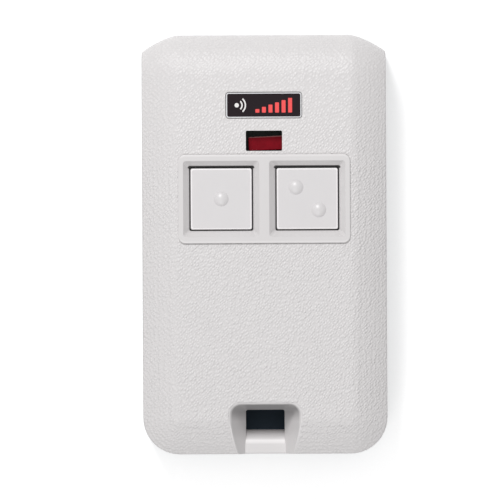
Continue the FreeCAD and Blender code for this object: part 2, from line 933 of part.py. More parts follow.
def encoder_pins():
    made = []
    y = board_near_y + chip_from_board_edge
    first = -chip_pin_pitch * (chip_pins - 1) / 2
    for number in range(chip_pins):
        x = first + number * chip_pin_pitch
        for side in (-1, 1):
            near = y + side * chip_width / 2
            ends = sorted((near, near + side * chip_pin_reach))
            foot = block(x - chip_pin_width / 2, x + chip_pin_width / 2, *ends,
                         board_height - chip_pin_thickness, board_height)
            ends = sorted((near, near + side * chip_pin_thickness))
            rise = block(x - chip_pin_width / 2, x + chip_pin_width / 2, *ends,
                         board_height - chip_height / 2, board_height)
            made.append(join([foot, rise]))
    return Part.makeCompound(made)


def trimmer_base():
    y = board_far_y - trimmer_from_board_top
    top = board_top + trimmer_height
    base = rounded_block(trimmer_x, y, trimmer_size, trimmer_size, trimmer_corner, board_top, top)
    well = post(trimmer_x, y, trimmer_rotor_diameter + 2 * fit_gap, top - trimmer_height / 2, top + 1)
    return base.cut(well)


def trimmer_rotor():
    """The slotted metal rotor of the tuning capacitor."""
    y = board_far_y - trimmer_from_board_top
    low = board_top + trimmer_height / 2
    high = board_top + trimmer_height + trimmer_rotor_rise
    rotor = post(trimmer_x, y, trimmer_rotor_diameter, low, high)
    slot = centred_block(trimmer_x, y, trimmer_rotor_diameter + 1, trimmer_slot,
                         high - trimmer_rotor_rise, high + 1)
    return rotor.cut(slot)


def resonator_can():
    """The round metal can of the frequency resonator, with its rolled rim."""
    y = board_far_y - resonator_from_board_top
    top = board_top + resonator_height
    rim = post(resonator_x, y, resonator_diameter, board_top, board_top + resonator_rim)
    can = post(resonator_x, y, resonator_diameter - 2 * resonator_rim, board_top, top)
    return join([rim, soften(can, resonator_round, top)])


def oscillator_transistor():
    y = board_far_y - trimmer_from_board_top
    low = board_top + chip_lift
    body = centred_block(0, y, transistor_length, transistor_width, low, low + transistor_height)
    legs = []
    half = transistor_leg_width / 2
    for x, side in ((-transistor_pitch / 2, -1), (transistor_pitch / 2, -1), (0, 1)):
        near = y + side * transistor_width / 2
        ends = sorted((near - side * transistor_leg_root, near + side * transistor_leg_reach))
        legs.append(block(x - half, x + half, *ends, board_top, board_top + transistor_leg_thickness))
    return join([body] + legs)


def chip_parts(row_y, count):
    """A row of soldered chip resistors or capacitors across the top face of the board."""
    made = []
    first = -chip_part_pitch * (count - 1) / 2
    for number in range(count):
        x = first + number * chip_part_pitch
        body = centred_block(x, row_y, chip_part_width, chip_part_length,
                             board_top, board_top + chip_part_height)
        made.append(body)
    return Part.makeCompound(made)


def build():
    pieces = {
        "front_cover": front_cover(),
        "rear_cover": rear_cover(),
        "case_screws": case_screws(),
        "left_button": button(button_places["left"], [(0, 0)]),
        "right_button": button(
            button_places["right"], [(-bump_offset, bump_offset), (bump_offset, -bump_offset)]
        ),
        "label_plate": label_plate(),
        "indicator_lamp": indicator_lamp(),
        "lamp_leads": lamp_leads(),
        "circuit_board": circuit_board(),
        "code_switch_body": code_switch_body(),
        "code_switch_terminals": code_switch_terminals(),
        "battery_cell": battery_cell(),
        "battery_contact_positive": contact_plate(1),
        "battery_contact_negative": contact_plate(-1),
        "battery_spring": battery_spring(),
        "encoder_chip": encoder_chip(),
        "encoder_pins": encoder_pins(),
        "trimmer_base": trimmer_base(),
        "trimmer_rotor": trimmer_rotor(),
        "resonator_can": resonator_can(),
        "oscillator_transistor": oscillator_transistor(),
        "chip_resistors": chip_parts(board_near_y + resistor_from_board_edge, resistor_count),
        "chip_capacitors": chip_parts(board_far_y - capacitor_from_board_top, capacitor_count),
    }
    for side, x in button_places.items():
        pieces[side + "_switch_base"] = switch_base(x)
        pieces[side + "_switch_cover"] = switch_cover_plate(x)
        pieces[side + "_switch_plunger"] = switch_plunger(x)
        pieces[side + "_switch_dome"] = switch_dome(x)
    for number, x, is_on in lever_places():
        pieces["code_lever_%02d" % number] = code_lever(x, is_on)
    return pieces


os.makedirs("parts", exist_ok=True)
for name, shape in build().items():
    shape.exportStep(os.path.join("parts", name + ".step"))
    print(name, len(shape.Solids), round(shape.Volume, 3), shape.isValid())
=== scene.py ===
"""Finishes, label and stage for a two-button key fob transmitter, laid out as an add-on."""

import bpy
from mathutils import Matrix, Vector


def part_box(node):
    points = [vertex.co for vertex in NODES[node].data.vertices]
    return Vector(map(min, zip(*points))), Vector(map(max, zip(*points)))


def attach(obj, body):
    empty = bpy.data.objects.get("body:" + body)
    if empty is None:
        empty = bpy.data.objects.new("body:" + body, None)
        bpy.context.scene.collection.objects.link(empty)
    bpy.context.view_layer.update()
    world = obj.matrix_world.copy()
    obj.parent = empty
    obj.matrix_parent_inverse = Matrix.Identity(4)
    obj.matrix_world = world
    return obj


bl_info = {
    "name": "Key fob transmitter looks",
    "version": (1, 0, 0),
    "blender": (4, 5, 0),
    "location": "View3D > Sidebar > Key Fob",
    "description": "Dresses the packed key fob transmitter in its plastics, label, lamp and board parts",
    "category": "Object",
}

import math
from functools import cached_property

import bmesh
import bpy
from mathutils import Matrix, Vector

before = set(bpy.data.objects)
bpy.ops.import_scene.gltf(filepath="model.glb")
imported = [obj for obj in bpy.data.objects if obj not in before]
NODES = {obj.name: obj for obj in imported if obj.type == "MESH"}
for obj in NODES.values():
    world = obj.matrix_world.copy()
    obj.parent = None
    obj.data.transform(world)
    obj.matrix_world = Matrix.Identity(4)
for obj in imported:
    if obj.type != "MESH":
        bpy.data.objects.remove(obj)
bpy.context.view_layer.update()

MM = 0.001
LEVERS = sorted(name for name in NODES if name.startswith("code_lever_"))
SIDES = ("left", "right")
WHITE = (1.0, 1.0, 1.0)

# Heights in millimetres. Below the first the front cover has no marks, and at the second the slopes
# of the wells end.
FRONT_FOOT = 10.5
WELL_FOOT = 13.1

# The key-ring recess: the radius of its corners at its floor, in millimetres, and how much its sides,
# its top wall and that radius grow for each millimetre of height.
RECESS_CORNER = 0.3
RECESS_FLARE = 0.4719
RECESS_LEAN = 0.1913
RECESS_ROUNDING = 0.2551

# Places in metres, in the fob's own frame.
KEY_PLACE = (-0.08, 0.24, 0.31)
FILL_PLACE = (-0.05, -0.40, 0.45)
LAMP_AIM = (0, 0, 0.01)
PICTURE_MIDDLE = (-0.00204, -0.00074, 0.014)


def size_of(node):
    """Width, length and height of a node in millimetres."""
    low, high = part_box(node)
    return (high - low) / MM


def middle_of(node):
    """Middle of a node's box in millimetres."""
    low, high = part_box(node)
    return (high + low) / 2 / MM


def top_of(node):
    """Height of a node's top in millimetres."""
    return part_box(node)[1].z / MM


def length_property(name, description, default):
    return bpy.props.FloatProperty(
        name=name, description=description, default=default * MM, unit="LENGTH", precision=5, min=0
    )


def angle_property(name, description, default):
    return bpy.props.FloatProperty(
        name=name, description=description, default=math.radians(default), unit="ROTATION", precision=4
    )


def power_property(name, description, default):
    return bpy.props.FloatProperty(
        name=name, description=description, default=default, unit="POWER", precision=3, min=0
    )


def colour_property(name, description, default):
    return bpy.props.FloatVectorProperty(
        name=name, description=description, default=default, subtype="COLOR", size=3, min=0, max=1
    )


class FobSizes(bpy.types.PropertyGroup):
    """Sizes of the surface detail that the solids don't carry."""

    bezel_width: length_property("Bezel width", "Smooth bezel round the two wells", 24.2)
    bezel_height: length_property("Bezel height", "Smooth bezel round the two wells", 12.5)
    bezel_corner: length_property("Bezel corner", "Radius of the bezel's corners", 1.0)
    recess_floor: length_property("Recess floor", "Height where the key-ring recess starts to open", 9.3)
    recess_half: length_property("Recess half width", "Half the recess's width at its floor", 2.73)
    recess_top: length_property("Recess top wall", "From the middle to the top wall at its floor", 23.3)
    recess_edge: length_property("Recess edge", "Smooth band round the recess's opening", 0.22)
    flange: length_property("Button flange", "How far a button's flange stands out under the case", 0.45)
    grain_size: length_property("Grain size", "Width of one ridge of the moulded grain", 0.325)
    grain_depth: length_property("Grain depth", "Height of the moulded grain", 0.124)
    spark_size: length_property("Spark texture size", "Width of the rear cover's texture", 0.22)
    spark_depth: length_property("Spark texture depth", "Height of the rear cover's texture", 0.012)
    border_width: length_property("Border width", "Width of the label's bright border", 0.13)
    ink_rise: length_property("Ink thickness", "How far the label's shapes stand out of it", 0.02)
    camera_distance: length_property("Camera distance", "From the camera to the front face", 1500.0)
    view_width: length_property("View width", "Width of the picture at the front face", 70.25)
    camera_tilt: angle_property("Camera tilt", "How far the camera leans to the top end", 0.5)
    camera_roll: angle_property("Camera roll", "How far the picture is turned", 0.3)


class FobLight(bpy.types.PropertyGroup):
    """Strengths and sizes of the stage's lights."""

    sky: bpy.props.FloatProperty(
        name="Sky", description="Strength of the even light from all round", default=0.431, min=0
    )
    key_power: power_property("Key lamp", "Power of the lamp past the top end", 0.80)
    key_width: length_property("Key lamp width", "Width of the lamp past the top end", 120.0)
    fill_power: power_property("Fill lamp", "Power of the lamp past the key-ring end", 1.0)
    fill_width: length_property("Fill lamp width", "Width of the lamp past the key-ring end", 500.0)


class FobColours(bpy.types.PropertyGroup):
    """Colours of the plastics, the label, the lamp, the board and the floor."""

    case: colour_property("Case", "Light grey of the front cover", (0.700, 0.681, 0.682))
    button: colour_property("Buttons", "Light grey of the two buttons", (0.690, 0.672, 0.678))
    rear: colour_property("Rear cover", "Dark slate of the rear cover", (0.026, 0.040, 0.056))
    label: colour_property("Label", "Ground of the label plate", (0.018, 0.012, 0.015))
    silver: colour_property("Label border", "Bright border of the label", (0.80, 0.80, 0.82))
    coral: colour_property("Label bars", "Coloured shapes on the label", (0.92, 0.11, 0.11))
    pale: colour_property("Label waves", "Pale shapes on the label", (0.86, 0.84, 0.83))
    lamp: colour_property("Lamp", "Red resin of the indicator lamp", (0.225, 0.006, 0.014))
    board: colour_property("Board", "Solder resist of the circuit board", (0.006, 0.026, 0.013))
    floor: colour_property("Floor", "The surface that the fob lies on", (0.86, 0.86, 0.86))


def sizes():
    return bpy.context.scene.fob_sizes


def lighting():
    return bpy.context.scene.fob_light


def colours():
    return bpy.context.scene.fob_colours


class Value:
    """The wrapped output socket of a node. Sums on it add Math nodes."""

    def __init__(self, nodes, socket):
        self.nodes = nodes
        self.socket = socket

    def math(self, operation, *others, clamp=False):
        settings = {"operation": operation, "use_clamp": clamp}
        return self.nodes.add("ShaderNodeMath", settings, dict(enumerate((self, *others))))[0]

    def __add__(self, other):
        return self.math("ADD", other)

    __radd__ = __add__

    def __mul__(self, other):
        return self.math("MULTIPLY", other)

    __rmul__ = __mul__

    def __sub__(self, other):
        return self.math("SUBTRACT", other)

    def __rsub__(self, other):
        return self.nodes.add("ShaderNodeMath", {"operation": "SUBTRACT"}, {0: other, 1: self})[0]

    def __truediv__(self, other):
        return self.math("DIVIDE", other)

    def __abs__(self):
        return self.math("ABSOLUTE")

    def __pow__(self, power):
        return self.math("POWER", power)

    def clamped(self):
        return self.math("ADD", 0.0, clamp=True)

    def over_zero(self):
        return self.math("MAXIMUM", 0.0)

    def up_to_one(self):
        return self.math("MINIMUM", 1.0)

    def above(self, edge, soft):
        """1 where the value is over the edge, fading to 0 over soft."""
        return ((self - edge) / soft + 0.5).clamped()

    def below(self, edge, soft):
        return 1 - self.above(edge, soft)

    def between(self, low, high, soft):
        return self.above(low, soft) * self.below(high, soft)


class Outputs:
    """The outputs of one node, by name or number."""

    def __init__(self, nodes, node):
        self.nodes = nodes
        self.node = node

    def __getitem__(self, name):
        return Value(self.nodes, self.node.outputs[name])


class Nodes:
    """The nodes of a material or a world, which are added by type."""

    def __init__(self, owner):
        owner.use_nodes = True
        self.tree = owner.node_tree
        self.tree.nodes.clear()

    def connect(self, value, socket):
        """Links a value to a socket, or writes a constant or an opaque colour in it."""
        if isinstance(value, Value):
            self.tree.links.new(value.socket, socket)
        elif socket.type == "RGBA":
            socket.default_value = (*value, 1.0)
        else:
            socket.default_value = value

    def add(self, kind, settings=None, inputs=None):
        """Adds a node: its settings first, then its sockets. Returns its outputs."""
        node = self.tree.nodes.new(kind)
        for name, value in (settings or {}).items():
            setattr(node, name, value)
        for name, value in (inputs or {}).items():
            self.connect(value, node.inputs[name])
        return Outputs(self, node)

    def seen(self):
        """1 for what the camera sees, also in a gloss or through a clear part, 0 for falling light."""
        rays = self.add("ShaderNodeLightPath")
        either = rays["Is Camera Ray"].math("MAXIMUM", rays["Is Glossy Ray"])
        return either.math("MAXIMUM", rays["Is Transmission Ray"])


class Finish(Nodes):
    """A material around one Principled shader, with a slot name that is only kept on this object."""

    def __init__(self, name, slot, **constants):
        self.slot = slot
        self.material = bpy.data.materials.new(name)
        super().__init__(self.material)
        self.shader = self.add("ShaderNodeBsdfPrincipled")
        self.surface = self.add("ShaderNodeOutputMaterial").node.inputs["Surface"]
        self.connect(self.shader[0], self.surface)
        for socket, value in constants.items():
            self.set(socket.replace("_", " "), value)

    def set(self, name, value):
        """Gives one of the shader's own sockets a value or a link."""
        self.connect(value, self.shader.node.inputs[name])

    @cached_property
    def millimetres(self):
        """The point in the fob's own frame, in millimetres."""
        sockets = {0: self.add("ShaderNodeTexCoord")["Object"], "Scale": 1 / MM}
        return self.add("ShaderNodeVectorMath", {"operation": "SCALE"}, sockets)[0]

    @cached_property
    def axes(self):
        """The point's three coordinates in millimetres."""
        parts = self.add("ShaderNodeSeparateXYZ", {}, {0: self.millimetres})
        return parts[0], parts[1], parts[2]

    def not_downward(self):
        """0 where the surface faces down in the fob's own frame, and 1 elsewhere."""
        normal = self.add("ShaderNodeTexCoord")["Normal"]
        upward = self.add("ShaderNodeSeparateXYZ", {}, {0: normal})[2]
        return upward.above(-0.5, soft=0.2)

    def noise(self, size, detail=2.0, roughness=0.5, distortion=0.0, where=None):
        """Smooth noise whose lumps are about size millimetres across."""
        sockets = {
            "Vector": where or self.millimetres,
            "Scale": 1 / size,
            "Detail": detail,
            "Roughness": roughness,
            "Distortion": distortion,
        }
        return self.add("ShaderNodeTexNoise", {}, sockets)["Fac"]

    def stretched(self, factors):
        """The point with each axis scaled, for lines that run one way."""
        sockets = {0: self.millimetres, 1: factors}
        return self.add("ShaderNodeVectorMath", {"operation": "MULTIPLY"}, sockets)[0]

    def slanted(self, degrees, stretch):
        """The point turned and drawn out, for grain whose ridges lean to one side."""
        sockets = {
            "Vector": self.millimetres,
            "Rotation": (0.0, 0.0, math.radians(degrees)),
            "Scale": (stretch, 1.0, 1.0),
        }
        return self.add("ShaderNodeMapping", {"vector_type": "TEXTURE"}, sockets)[0]

    def blend(self, first, second, factor):
        """A colour between two colours."""
        settings = {"data_type": "RGBA"}
        return self.add("ShaderNodeMix", settings, {"Factor": factor, 6: first, 7: second})[2]

    def bump(self, height, depth):
        """Feeds the shader's normal with a height of 0 to 1, depth millimetres deep."""
        sockets = {"Height": height, "Distance": depth * MM, "Strength": 1.0}
        self.set("Normal", self.add("ShaderNodeBump", {}, sockets)["Normal"])


def dress(finish, *names):
    """Gives CAD nodes a finish in place of the plain one they came with."""
    for name in names:
        mesh = NODES[name].data
        mesh.materials.clear()
        mesh.materials.append(finish.material)
        NODES[name]


def shade(colour, factor):
    """The colour made darker or lighter."""
    return tuple(min(1.0, part * factor) for part in colour)


def new_piece(name, mesh_builder, finish, body):
    """A new mesh object that rides on a body."""
    mesh = bpy.data.meshes.new(name)
    mesh_builder.normal_update()
    mesh_builder.to_mesh(mesh)
    mesh_builder.free()
    mesh.materials.append(finish.material)
    piece = bpy.data.objects.new(name, mesh)
    bpy.context.scene.collection.objects.link(piece)
    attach(piece, body)
    return piece


def slab(builder, outline, low, high):
    """A flat closed solid with an outline in the XY plane, from height low to high. Millimetres."""
    bottom = [builder.verts.new(Vector((x, y, low)) * MM) for x, y in outline]
    top = [builder.verts.new(Vector((x, y, high)) * MM) for x, y in outline]
    builder.faces.new(reversed(bottom))
    builder.faces.new(top)
    for number in range(len(outline)):
        after = (number + 1) % len(outline)
        builder.faces.new((bottom[number], bottom[after], top[after], top[number]))


def ring(builder, outer, inner, low, high):
    """A flat closed ring between two outlines of equally many points."""
    rows = []
    for outline, height in ((outer, low), (outer, high), (inner, high), (inner, low)):
        rows.append([builder.verts.new(Vector((x, y, height)) * MM) for x, y in outline])
    for row, following in zip(rows, rows[1:] + rows[:1]):
        for number in range(len(outer)):
            after = (number + 1) % len(outer)
            builder.faces.new((row[number], row[after], following[after], following[number]))


def rounded_outline(x, y, width, height, radius, steps=6):
    """Points round a rectangle with round corners, anticlockwise."""
    points = []
    for corner, (side, end) in enumerate(((1, 1), (-1, 1), (-1, -1), (1, -1))):
        centre_x = x + side * (width / 2 - radius)
        centre_y = y + end * (height / 2 - radius)
        for step in range(steps + 1):
            angle = math.pi / 2 * (corner + step / steps)
            points.append((centre_x + radius * math.cos(angle), centre_y + radius * math.sin(angle)))
    return points


def arc_outline(x, y, radius, width, start, end, steps=16):
    """Points round a curved band, from one angle to another in degrees."""
    angles = [math.radians(start + (end - start) * step / steps) for step in range(steps + 1)]
    points = []
    for reach, order in ((radius + width / 2, angles), (radius - width / 2, angles[::-1])):
        points += [(x + reach * math.cos(angle), y + reach * math.sin(angle)) for angle in order]
    return points


def moulded_grain(finish, size):
    """Height from 0 to 1 of a fine moulded grain: rows of short slanting ridges, parted by creases."""
    sockets = {"Vector": finish.slanted(degrees=45, stretch=1.5), "Scale": 1 / size, "Randomness": 0.62}
    cells = finish.add("ShaderNodeTexVoronoi", {}, sockets)["Distance"]
    drifts = finish.noise(size * 3, detail=1.0)
    return cells.below(0.36, soft=0.72) * (0.8 + drifts * 0.4)


def rounded_distance(across, up, corner):
    """How far a point is outside a rounded corner, from its distances past the two sides."""
    out = (across + corner).over_zero()
    past = (up + corner).over_zero()
    return (out * out + past * past).math("SQRT") - corner


def bezel_distance(finish):
    """How far a point is outside the bezel, seen from the front."""
    setup = sizes()
    x, y, z = finish.axes
    across = abs(x) - setup.bezel_width / MM / 2
    up = abs(y - middle_of("left_button").y) - setup.bezel_height / MM / 2
    return rounded_distance(across, up, setup.bezel_corner / MM)


def button_half():
    """Half the width of a button above its flange."""
    return size_of("left_button").x / 2 - sizes().flange / MM


def button_distance(finish, corner):
    """How far a point is outside the nearer button, seen from the front."""
    x, y, z = finish.axes
    middle, half = middle_of("left_button"), button_half()
    return rounded_distance(abs(abs(x) - abs(middle.x)) - half, abs(y - middle.y) - half, corner)


def label_area(finish):
    """1 in the label's recess."""
    x, y, z = finish.axes
    size, middle = size_of("label_plate"), middle_of("label_plate")
    gap = 0.1
    across = abs(x).below(size.x / 2 + gap, soft=0.05)
    up = abs(y - middle.y).below(size.y / 2 + gap, soft=0.05)
    return across * up * z.above(FRONT_FOOT, soft=0.1)


def ring_area(finish):
    """1 in the key-ring recess and on the narrow band round its opening."""
    setup = sizes()
    x, y, z = finish.axes
    rise = z - setup.recess_floor / MM
    across = abs(x) - rise * RECESS_FLARE - setup.recess_half / MM
    up = y - rise * RECESS_LEAN + setup.recess_top / MM
    corner = rise * RECESS_ROUNDING + RECESS_CORNER
    return rounded_distance(across, up, corner).below(setup.recess_edge / MM, soft=0.1)


def painted_highlight_places(finish, bezel_out, ring_end):
    """How much painted highlight the front cover gets: on the bezel's upper and lower edges and on the
    key-ring bar.
    """
    setup = sizes()
    x, y, z = finish.axes
    half, bezel_face = setup.bezel_height / MM / 2, 14.1
    bar_start, bar_end = -28.05, -27.5
    # Painted highlight along the bezel's upper and lower edges.
    bezel_highlight = bezel_out.between(-0.32, -0.05, soft=0.08)
    bezel_highlight = bezel_highlight * abs(y - middle_of("left_button").y).above(half - 0.5, soft=0.2)
    bezel_highlight = bezel_highlight * z.above(bezel_face, soft=0.1)
    # Painted highlight across the key-ring bar.
    bar = ring_end * abs(x).below(setup.recess_half / MM, soft=0.1)
    bar = bar * y.between(bar_start, bar_end, soft=0.2)
    return bezel_highlight * 0.4 + bar * 0.8


def painted_shade_places(finish, bezel_out, ring_end):
    """How much painted shade the front cover gets: round the buttons, in the recess, and as a painted
    shadow at the bezel's foot.
    """
    x, y, z = finish.axes
    row = middle_of("left_button").y
    foot_end = row - sizes().bezel_height / MM / 2
    recess_start, recess_rim = -24.0, 13.7
    front, outer = z.above(FRONT_FOOT, soft=0.1), finish.not_downward()
    # Painted shadow along the foot of the bezel's lower edge.
    foot = bezel_out.between(-0.02, 0.14, soft=0.06) * y.below(foot_end + 0.1, soft=0.2)
    foot = foot * front * outer
    # Painted shade in the gaps round the buttons, reaching higher on their top side.
    climb = (y - row).above(button_half(), soft=0.1) * 0.25
    near = button_distance(finish, corner=0.8).below(0.8, soft=0.1)
    gap = near * (z - climb).below(WELL_FOOT + 0.06, soft=0.1) * front * outer
    # Painted shade on the recess's top wall and upper corners.
    recess = ring_end * y.above(recess_start, soft=1.8) * z.below(recess_rim, soft=0.5)
    return recess * 0.5 + gap + foot * 0.2


def front_plastic():
    """Light grey moulded plastic, grained but for the bezel and the recesses, with painted highlights
    and painted shade in its colour.
    """
    finish = Finish("light_grey_grained_plastic", "case_plastic", Specular_IOR_Level=0.42)
    colour, setup = colours().case, sizes()
    x, y, z = finish.axes
    bezel_out, ring_end = bezel_distance(finish), ring_area(finish)
    bezel = bezel_out.below(0.05, soft=0.1) * z.above(FRONT_FOOT, soft=0.1)
    smooth = (bezel + label_area(finish) + ring_end).clamped()
    grain = moulded_grain(finish, setup.grain_size / MM)
    # Crests of the grain, made lighter below as a painted highlight.
    crest_highlights = grain.above(0.55, soft=0.6) * (1 - smooth) * 0.9
    plastic = finish.blend(shade(colour, 0.975), shade(colour, 1.02), finish.noise(9.0))
    # Painted highlight on the grain's crests and painted light over the key-ring recess.
    plastic = finish.blend(plastic, shade(colour, 1.1), (crest_highlights + ring_end * 0.4).up_to_one())
    # Painted highlights on the bezel's edges and the key-ring bar.
    plastic = finish.blend(plastic, shade(colour, 1.2), painted_highlight_places(finish, bezel_out, ring_end))
    # Painted shade round the buttons, at the bezel's foot and in the recess, mixed towards near-black.
    painted_shade = painted_shade_places(finish, bezel_out, ring_end).up_to_one()
    finish.set("Base Color", finish.blend(plastic, shade(colour, 0.06), painted_shade))
    finish.set("Roughness", 0.35 + finish.noise(1.4) * 0.06 - smooth * 0.08)
    hairline = finish.noise(0.3, detail=1.0) * 0.06
    # The grain flattens towards the top end and in the last millimetres of the other.
    top, bottom = y.above(16.0, soft=14.0), y.below(-26.0, soft=4.0)
    depth = 1 - top * 0.45 - bottom * 0.4
    finish.bump(grain * depth * (1 - smooth) + hairline * smooth, setup.grain_depth / MM)
    return finish


def rear_plastic():
    """Dark slate plastic with a fine spark-eroded texture."""
    finish = Finish("charcoal_spark_plastic", "rear_plastic", Specular_IOR_Level=0.18)
    colour = colours().rear
    spark = finish.noise(sizes().spark_size / MM, detail=3.0, roughness=0.6)
    finish.set("Base Color", finish.blend(shade(colour, 0.85), shade(colour, 1.25), spark))
    finish.set("Roughness", 0.5 + finish.noise(2.0) * 0.12)
    finish.bump(spark, sizes().spark_depth / MM)
    return finish


def button_plastic():
    """Smooth satin plastic with faint flow marks, a painted highlight on the top edges and painted shade
    on the sides.
    """
    finish = Finish("satin_button_plastic", "button_plastic", Specular_IOR_Level=0.75)
    colour = colours().button
    x, y, z = finish.axes
    flow = finish.noise(3.0, distortion=0.6)
    plastic = finish.blend(shade(colour, 0.975), shade(colour, 1.0), flow)
    # Painted highlight along the button's top edge.
    edge = button_distance(finish, corner=0.5).above(-0.2, soft=0.12)
    plastic = finish.blend(plastic, shade(colour, 1.3), edge * z.above(WELL_FOOT + 0.04, soft=0.06))
    # Painted shade on the sides, where the gap to the well is.
    sides = z.below(WELL_FOOT + 0.02, soft=0.06)
    finish.set("Base Color", finish.blend(plastic, shade(colour, 0.3), sides))
    finish.set("Roughness", 0.34 + finish.noise(0.8, detail=3.0) * 0.06)
    finish.bump(finish.noise(0.16), depth=0.0025)
    return finish


def ink(name, colour, metallic=0.0, roughness=0.35):
    """Screen-printed ink or foil with a slightly uneven lay."""
    finish = Finish(name, "label_gloss", Metallic=metallic, Specular_IOR_Level=0.12)
    lay = finish.noise(0.35)
    finish.set("Base Color", finish.blend(shade(colour, 0.9), shade(colour, 1.06), lay))
    finish.set("Roughness", roughness + lay * 0.12)
    finish.bump(lay, depth=0.004)
    return finish


def metal(name, slot, colour, roughness=0.28, brush_axis=0):
    """Drawn or plated metal with fine lines along one axis."""
    finish = Finish(name, slot, Metallic=1.0)
    scales = [6.0, 6.0, 6.0]
    scales[brush_axis] = 0.5
    lines = finish.noise(1.0, detail=3.0, where=finish.stretched(scales))
    finish.set("Base Color", finish.blend(shade(colour, 0.86), shade(colour, 1.08), lines))
    finish.set("Roughness", roughness + lines * 0.16)
    finish.bump(lines, depth=0.004)
    return finish


def moulding(name, slot, colour, roughness=0.45):
    """Small moulded part with a fine even texture."""
    finish = Finish(name, slot, Specular_IOR_Level=0.45)
    speck = finish.noise(0.2)
    finish.set("Base Color", finish.blend(shade(colour, 0.88), shade(colour, 1.1), speck))
    finish.set("Roughness", roughness + speck * 0.12)
    finish.bump(speck, depth=0.006)
    return finish


def lamp_resin():
    """Deep red cast resin, a little cloudy, with a polished skin and a painted highlight along its upper
    edge.
    """
    finish = Finish(
        "red_lamp_resin", "lamp_resin", Coat_Weight=0.02, Coat_Roughness=0.1, Specular_IOR_Level=0.05
    )
    colour, highlight_colour = colours().lamp, (0.42, 0.20, 0.20)
    x, y, z = finish.axes
    cloud = finish.noise(1.1, distortion=0.8)
    resin = finish.blend(shade(colour, 0.82), shade(colour, 1.2), cloud)
    # Painted highlight along the lamp's upper edge, leaning with the lamp.
    middle = middle_of("indicator_lamp")
    lean = math.tan(math.radians(2.5))
    rise = y - middle.y - (x - middle.x) * lean
    edge = rise.between(0.86, 1.02, soft=0.06) * 0.8
    finish.set("Base Color", finish.blend(resin, highlight_colour, edge))
    finish.set("Roughness", 0.22 + cloud * 0.12)
    finish.bump(finish.noise(0.5), depth=0.004)
    return finish


def board_finish():
    """Green solder resist over a fine glass weave, with copper tracks and a loop aerial under it."""
    finish = Finish("green_circuit_board", "board_laminate", Specular_IOR_Level=0.2, Coat_Weight=0.1)
    colour, copper_colour = colours().board, (0.018, 0.055, 0.02)
    x, y, z = finish.axes
    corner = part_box("circuit_board")[1] / MM
    loop_outer, loop_inner, loop_length, tracks_end = 0.8, 2.0, 14.0, 3.0
    loop_x = abs(x).between(corner.x - loop_inner, corner.x - loop_outer, soft=0.05)
    loop_x = loop_x * y.above(corner.y - loop_length, soft=0.05)
    loop_y = y.between(corner.y - loop_inner, corner.y - loop_outer, soft=0.05)
    loop_y = loop_y * abs(x).below(corner.x - loop_outer, soft=0.05)
    tracks_in_a_millimetre, half_a_track = 0.7874, 0.12
    from_track = abs((x * tracks_in_a_millimetre + 0.5).math("FRACT") - 0.5)
    tracks = from_track.below(half_a_track, soft=0.03)
    tracks = tracks * finish.noise(4.0, detail=0.0).above(0.52, soft=0.01)
    tracks = tracks * y.below(corner.y - tracks_end, soft=0.1)
    copper = (loop_x + loop_y + tracks).clamped()
    weave = finish.noise(0.25, detail=1.0)
    green = finish.blend(shade(colour, 0.85), shade(colour, 1.15), weave)
    finish.set("Base Color", finish.blend(green, copper_colour, copper))
    finish.set("Roughness", 0.30 + weave * 0.12)
    finish.bump(copper * 0.8 + weave * 0.15, depth=0.03)
    return finish


def cell_jacket():
    """Printed shrink jacket: dark body, a bright band at the positive end and bare ends."""
    finish = Finish("battery_jacket", "cell_jacket")
    body_colour, band_colour = (0.05, 0.05, 0.055), (0.62, 0.42, 0.10)
    worn_colour, bare_colour = (0.30, 0.30, 0.30), (0.70, 0.69, 0.67)
    band_width, bare_width, jacket_thickness = 8.5, 1.2, 0.35
    x, y, z = finish.axes
    size, middle = size_of("battery_cell"), middle_of("battery_cell")
    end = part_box("battery_cell")[1].x / MM
    out = ((y - middle.y) ** 2 + (z - middle.z) ** 2).math("SQRT")
    bare = out.below(size.z / 2 - jacket_thickness, soft=0.05) + x.above(end - bare_width, soft=0.05)
    bare = bare.clamped()
    scuffs = finish.noise(0.8, detail=3.0)
    jacket = finish.blend(body_colour, band_colour, x.above(end - band_width, soft=0.05))
    jacket = finish.blend(jacket, worn_colour, scuffs.above(0.66, soft=0.05) * 0.3)
    finish.set("Base Color", finish.blend(jacket, bare_colour, bare))
    finish.set("Metallic", bare)
    finish.set("Roughness", 0.25 + scuffs * 0.2)
    finish.bump(scuffs, depth=0.006)
    return finish


def chip_part_finish(name, node, body_colour):
    """Glazed chip parts with tinned ends."""
    finish = Finish(name, "chip_part")
    tin_colour, tin_length = (0.75, 0.75, 0.74), 0.4
    x, y, z = finish.axes
    size, middle = size_of(node), middle_of(node)
    ends = abs(y - middle.y).above(size.y / 2 - tin_length, soft=0.04)
    speck = finish.noise(0.2)
    glaze = finish.blend(shade(body_colour, 0.85), body_colour, speck)
    finish.set("Base Color", finish.blend(glaze, tin_colour, ends))
    finish.set("Metallic", ends * 0.9)
    finish.set("Roughness", 0.28 + speck * 0.15)
    finish.bump(speck + ends, depth=0.02)
    return finish


class FobOperator:
    """What the operators here share: each is listed in the info log."""

    bl_options = {"REGISTER"}


class KEYFOB_OT_case(FobOperator, bpy.types.Operator):
    """Dress the front cover in grained grey plastic and the rear cover in dark slate"""

    bl_idname = "keyfob.case"
    bl_label = "Case Covers"

    def execute(self, context):
        dress(front_plastic(), "front_cover")
        dress(rear_plastic(), "rear_cover")
        return {"FINISHED"}


class KEYFOB_OT_buttons(FobOperator, bpy.types.Operator):
    """Dress the two push buttons in smooth satin plastic"""

    bl_idname = "keyfob.buttons"
    bl_label = "Push Buttons"

    def execute(self, context):
        dress(button_plastic(), "left_button", "right_button")
        return {"FINISHED"}


